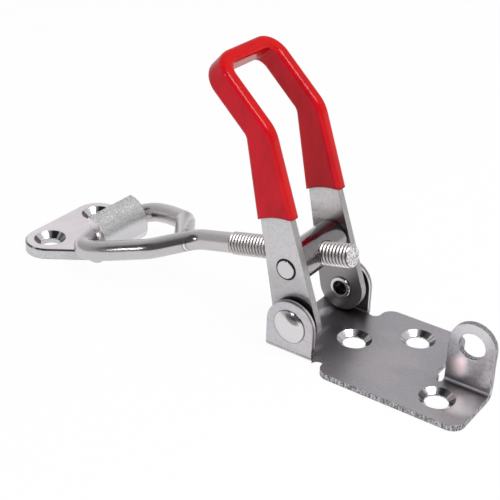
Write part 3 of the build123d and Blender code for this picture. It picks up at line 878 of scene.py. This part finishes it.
def addBead(bm, look, points):                       # a lumpy run of weld metal along the points
    radius = look["beadRadius"] * millimetre
    spaced = [points[0]]
    for point in points[1:]:
        if (point - spaced[-1]).length > look["beadStep"] * millimetre:
            spaced.append(point)
    middle = sum(spaced, Vector()) / len(spaced)
    sides = look["beadSides"]
    count = len(spaced)
    rows = []
    for step, point in enumerate(spaced):
        ahead = (spaced[(step + 1) % count] - spaced[step - 1]).normalized()
        out = (point - middle).normalized()
        out = (out - ahead * out.dot(ahead)).normalized()
        turned = ahead.cross(out)
        row = []
        for side in range(sides):
            angle = 2 * math.pi * side / sides
            arm = (out * math.cos(angle) + turned * math.sin(angle)) * radius
            lump = noise.noise((point + arm) / (look["beadLump"] * millimetre))
            row.append(bm.verts.new(point + arm * (1.0 + look["beadLumpHeight"] * lump)))
        rows.append(row)
    for step in range(count):
        here, ahead = rows[step], rows[(step + 1) % count]
        for side in range(sides):
            after = (side + 1) % sides
            bm.faces.new([here[side], here[after], ahead[after], ahead[side]])


def makeEyeBolt(look, material):                     # the CAD's rod, with a helical thread and a weld bead
    cad = frame["nodes"]["eye_bolt"].data
    centre, along = boltLine()
    start, end = threadReach(cad, look)
    bm = bmesh.new()
    bm.from_mesh(cad)
    bmesh.ops.remove_doubles(bm, verts=bm.verts, dist=look["mergeGap"] * millimetre)
    threadEdge = end + look["cutPlay"] * millimetre
    plainThread = []
    for face in bm.faces:
        if all((corner.co - centre).dot(along) < threadEdge for corner in face.verts):
            plainThread.append(face)
    weld = seamPoints(bm, look, end + look["radius"] * millimetre)
    bmesh.ops.delete(bm, geom=plainThread, context="FACES")
    addThread(bm, look, start, end)
    addBead(bm, look, weld)
    for face in bm.faces:
        face.smooth = True
    bm.normal_update()
    mesh = bpy.data.meshes.new("eyeBolt")
    bm.to_mesh(mesh)
    bm.free()
    bolt = bpy.data.objects.new("eyeBolt", mesh)
    bpy.context.scene.collection.objects.link(bolt)
    mesh.materials.append(material)
    mesh.set_sharp_from_angle(angle=math.radians(look["sharpAngle"]))
    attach(bolt, "bolt")
    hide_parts("eye_bolt")


# finishes on the pieces that keep their CAD shape

def dress(node, material):
    piece = frame["nodes"][node]
    piece.data.materials.clear()
    piece.data.materials.append(material)


dress("base_plate", plateSteel(baseLook))
rivetMaterial = rivetSteel(rivetLook)
dress("pivot_rivet_left", rivetMaterial)
dress("pivot_rivet_right", rivetMaterial)
dress("handle_strap", strapSteel(strapLook))
dress("grip_sleeve", redDip(sleeveLook))
dress("barrel_nut", turnedSteel(barrelLook))
dress("hook_keeper", keeperSteel(keeperLook))
print("finishes done")
makeEyeBolt(boltLook, rodSteel(boltLook))
print("eye bolt done")


# studio, in metres

studioLook = {
    "floorSize": 8.0,
    "floorDrop": 0.0002,                             # below the part, so that the two faces don't meet
    "floorColour": (0.88, 0.88, 0.89),
    "floorGlow": 0.96,                               # how much of the floor is plain white to the camera
    "floorShine": 0.75,                              # and to reflections
    "skyGlow": 0.50,                                 # what matt surfaces are lit by
    "tent": [                                        # the room by height: white at and below the horizon
        (0.0, (1.0, 1.0, 1.0)),
        (0.06, (0.90, 0.90, 0.90)),
        (0.14, (0.80, 0.80, 0.81)),
        (0.55, (0.82, 0.82, 0.83)),
        (0.70, (0.72, 0.72, 0.73)),
        (0.85, (0.58, 0.58, 0.59)),
        (1.0, (0.48, 0.48, 0.49)),
    ],
    "darkSide": (0.57, -0.82),                       # the unlit side of the room, as east and north
    "darkColour": (0.03, 0.03, 0.035),
    "darkRange": (0.5, 0.95),
    "darkShare": 0.93,
    "darkLean": 0.9,                                 # how much wider it is higher up
    "darkRise": (0.02, 0.14),                        # the heights at which it begins
    "darkTop": (0.90, 1.0),                          # the heights at which it thins out
    "darkTopShare": 0.6,
    "dimRise": (0.0, 0.1),
    "dimSides": [                                    # east, north, where it begins and is full, and its share
        (-0.90, -0.44, 0.35, 1.0, 0.40),
        (0.20, 0.98, 0.50, 0.70, 0.34),
    ],
    "lamps": [                                       # name, place, size, power
        ("keyLamp", (0.62, 0.02, 1.05), 0.60, 9.0),
        ("sideLamp", (-0.29, -1.07, 0.60), 0.20, 1.0),
    ],
}


def rayKinds(graph):                                 # 1 for the camera's, the glossy and the transmitted rays
    return [graph.add("ShaderNodeLightPath", output=kind) for kind in (0, 3, 6)]


def makeFloor(look):
    graph = newFinish("floorPaint")
    camera, glossy, through = rayKinds(graph)
    matt = graph.add("ShaderNodeBsdfDiffuse", None, {"Color": look["floorColour"]})
    glow = graph.add("ShaderNodeEmission", None, {"Color": (1.0, 1.0, 1.0), "Strength": 1.0})
    share = camera * look["floorGlow"] + (glossy + through) * look["floorShine"]
    surface = graph.add("ShaderNodeMixShader", None, {0: share, 1: matt, 2: glow})
    graph.add("ShaderNodeOutputMaterial", None, {"Surface": surface})
    bm = bmesh.new()
    bmesh.ops.create_grid(bm, x_segments=1, y_segments=1, size=look["floorSize"] / 2)
    mesh = bpy.data.meshes.new("floor")
    bm.to_mesh(mesh)
    bm.free()
    floor = bpy.data.objects.new("floor", mesh)
    floor.location.z = -look["floorDrop"]
    bpy.context.scene.collection.objects.link(floor)
    mesh.materials.append(graph.owner)


def makeSky(look):
    world = bpy.data.worlds.new("softRoom")
    bpy.context.scene.world = world
    graph = Graph(world)
    camera, glossy, through = rayKinds(graph)
    heading = graph.add("ShaderNodeTexCoord", output=0)
    east, north, up = graph.axes(heading)
    room = graph.add("ShaderNodeValToRGB", {"stops": look["tent"]}, {0: up})
    for dimEast, dimNorth, start, full, share in look["dimSides"]:
        dim = (east * dimEast + north * dimNorth).rise(start, full) * up.rise(*look["dimRise"])
        room = graph.blend(dim * share, room, look["darkColour"])
    darkEast, darkNorth = look["darkSide"]
    towards = (east * darkEast + north * darkNorth) / distance(east, north)
    dark = (towards + up * look["darkLean"]).rise(*look["darkRange"])
    lowBand = up.rise(*look["darkRise"]) * (1.0 - up.rise(*look["darkTop"]) * look["darkTopShare"])
    room = graph.blend(dark * lowBand * look["darkShare"], room, look["darkColour"])
    colour = graph.blend(camera + glossy + through, (look["skyGlow"],) * 3, room)
    background = graph.add("ShaderNodeBackground", None, {"Color": colour, "Strength": 1.0})
    graph.add("ShaderNodeOutputWorld", None, {"Surface": background})


def makeLamp(name, place, size, power):
    light = bpy.data.lights.new(name, "AREA")
    light.shape = "DISK"
    light.size = size
    light.energy = power
    lamp = bpy.data.objects.new(name, light)
    lamp.location = place
    lamp.rotation_euler = (-Vector(place)).to_track_quat("-Z", "Y").to_euler()
    bpy.context.scene.collection.objects.link(lamp)


makeFloor(studioLook)
makeSky(studioLook)
for lampLook in studioLook["lamps"]:
    makeLamp(*lampLook)
print("studio done")


# camera

cameraLook = {
    "place": (252.47, -428.38, 317.26),              # millimetres
    "azimuth": 34.65,
    "elevation": 28.78,
    "roll": 1.6,
    "focalPixels": 1166.54,
    "picturePixels": 500.0,
    "sensor": 36.0,
    "reach": 20.0,                                   # metres
}


def makeCamera(look):
    turn, tilt, roll = [math.radians(look[word]) for word in ("azimuth", "elevation", "roll")]
    back = Vector((math.sin(turn) * math.cos(tilt), -math.cos(turn) * math.cos(tilt), math.sin(tilt)))
    right = (-back).cross(Vector((0.0, 0.0, 1.0))).normalized()
    up = back.cross(right)
    rolledRight = right * math.cos(roll) + up * math.sin(roll)
    rolledUp = up * math.cos(roll) - right * math.sin(roll)
    camera = bpy.data.cameras.new("camera")
    camera.sensor_width = look["sensor"]
    camera.lens = look["focalPixels"] * look["sensor"] / look["picturePixels"]
    camera.clip_end = look["reach"]
    stand = bpy.data.objects.new("camera", camera)
    turned = Matrix((rolledRight, rolledUp, back)).transposed().to_4x4()
    stand.matrix_world = Matrix.Translation(Vector(look["place"]) * millimetre) @ turned
    bpy.context.scene.collection.objects.link(stand)
    bpy.context.scene.camera = stand


makeCamera(cameraLook)
bpy.context.scene.view_settings.view_transform = "Standard"
print("camera done")
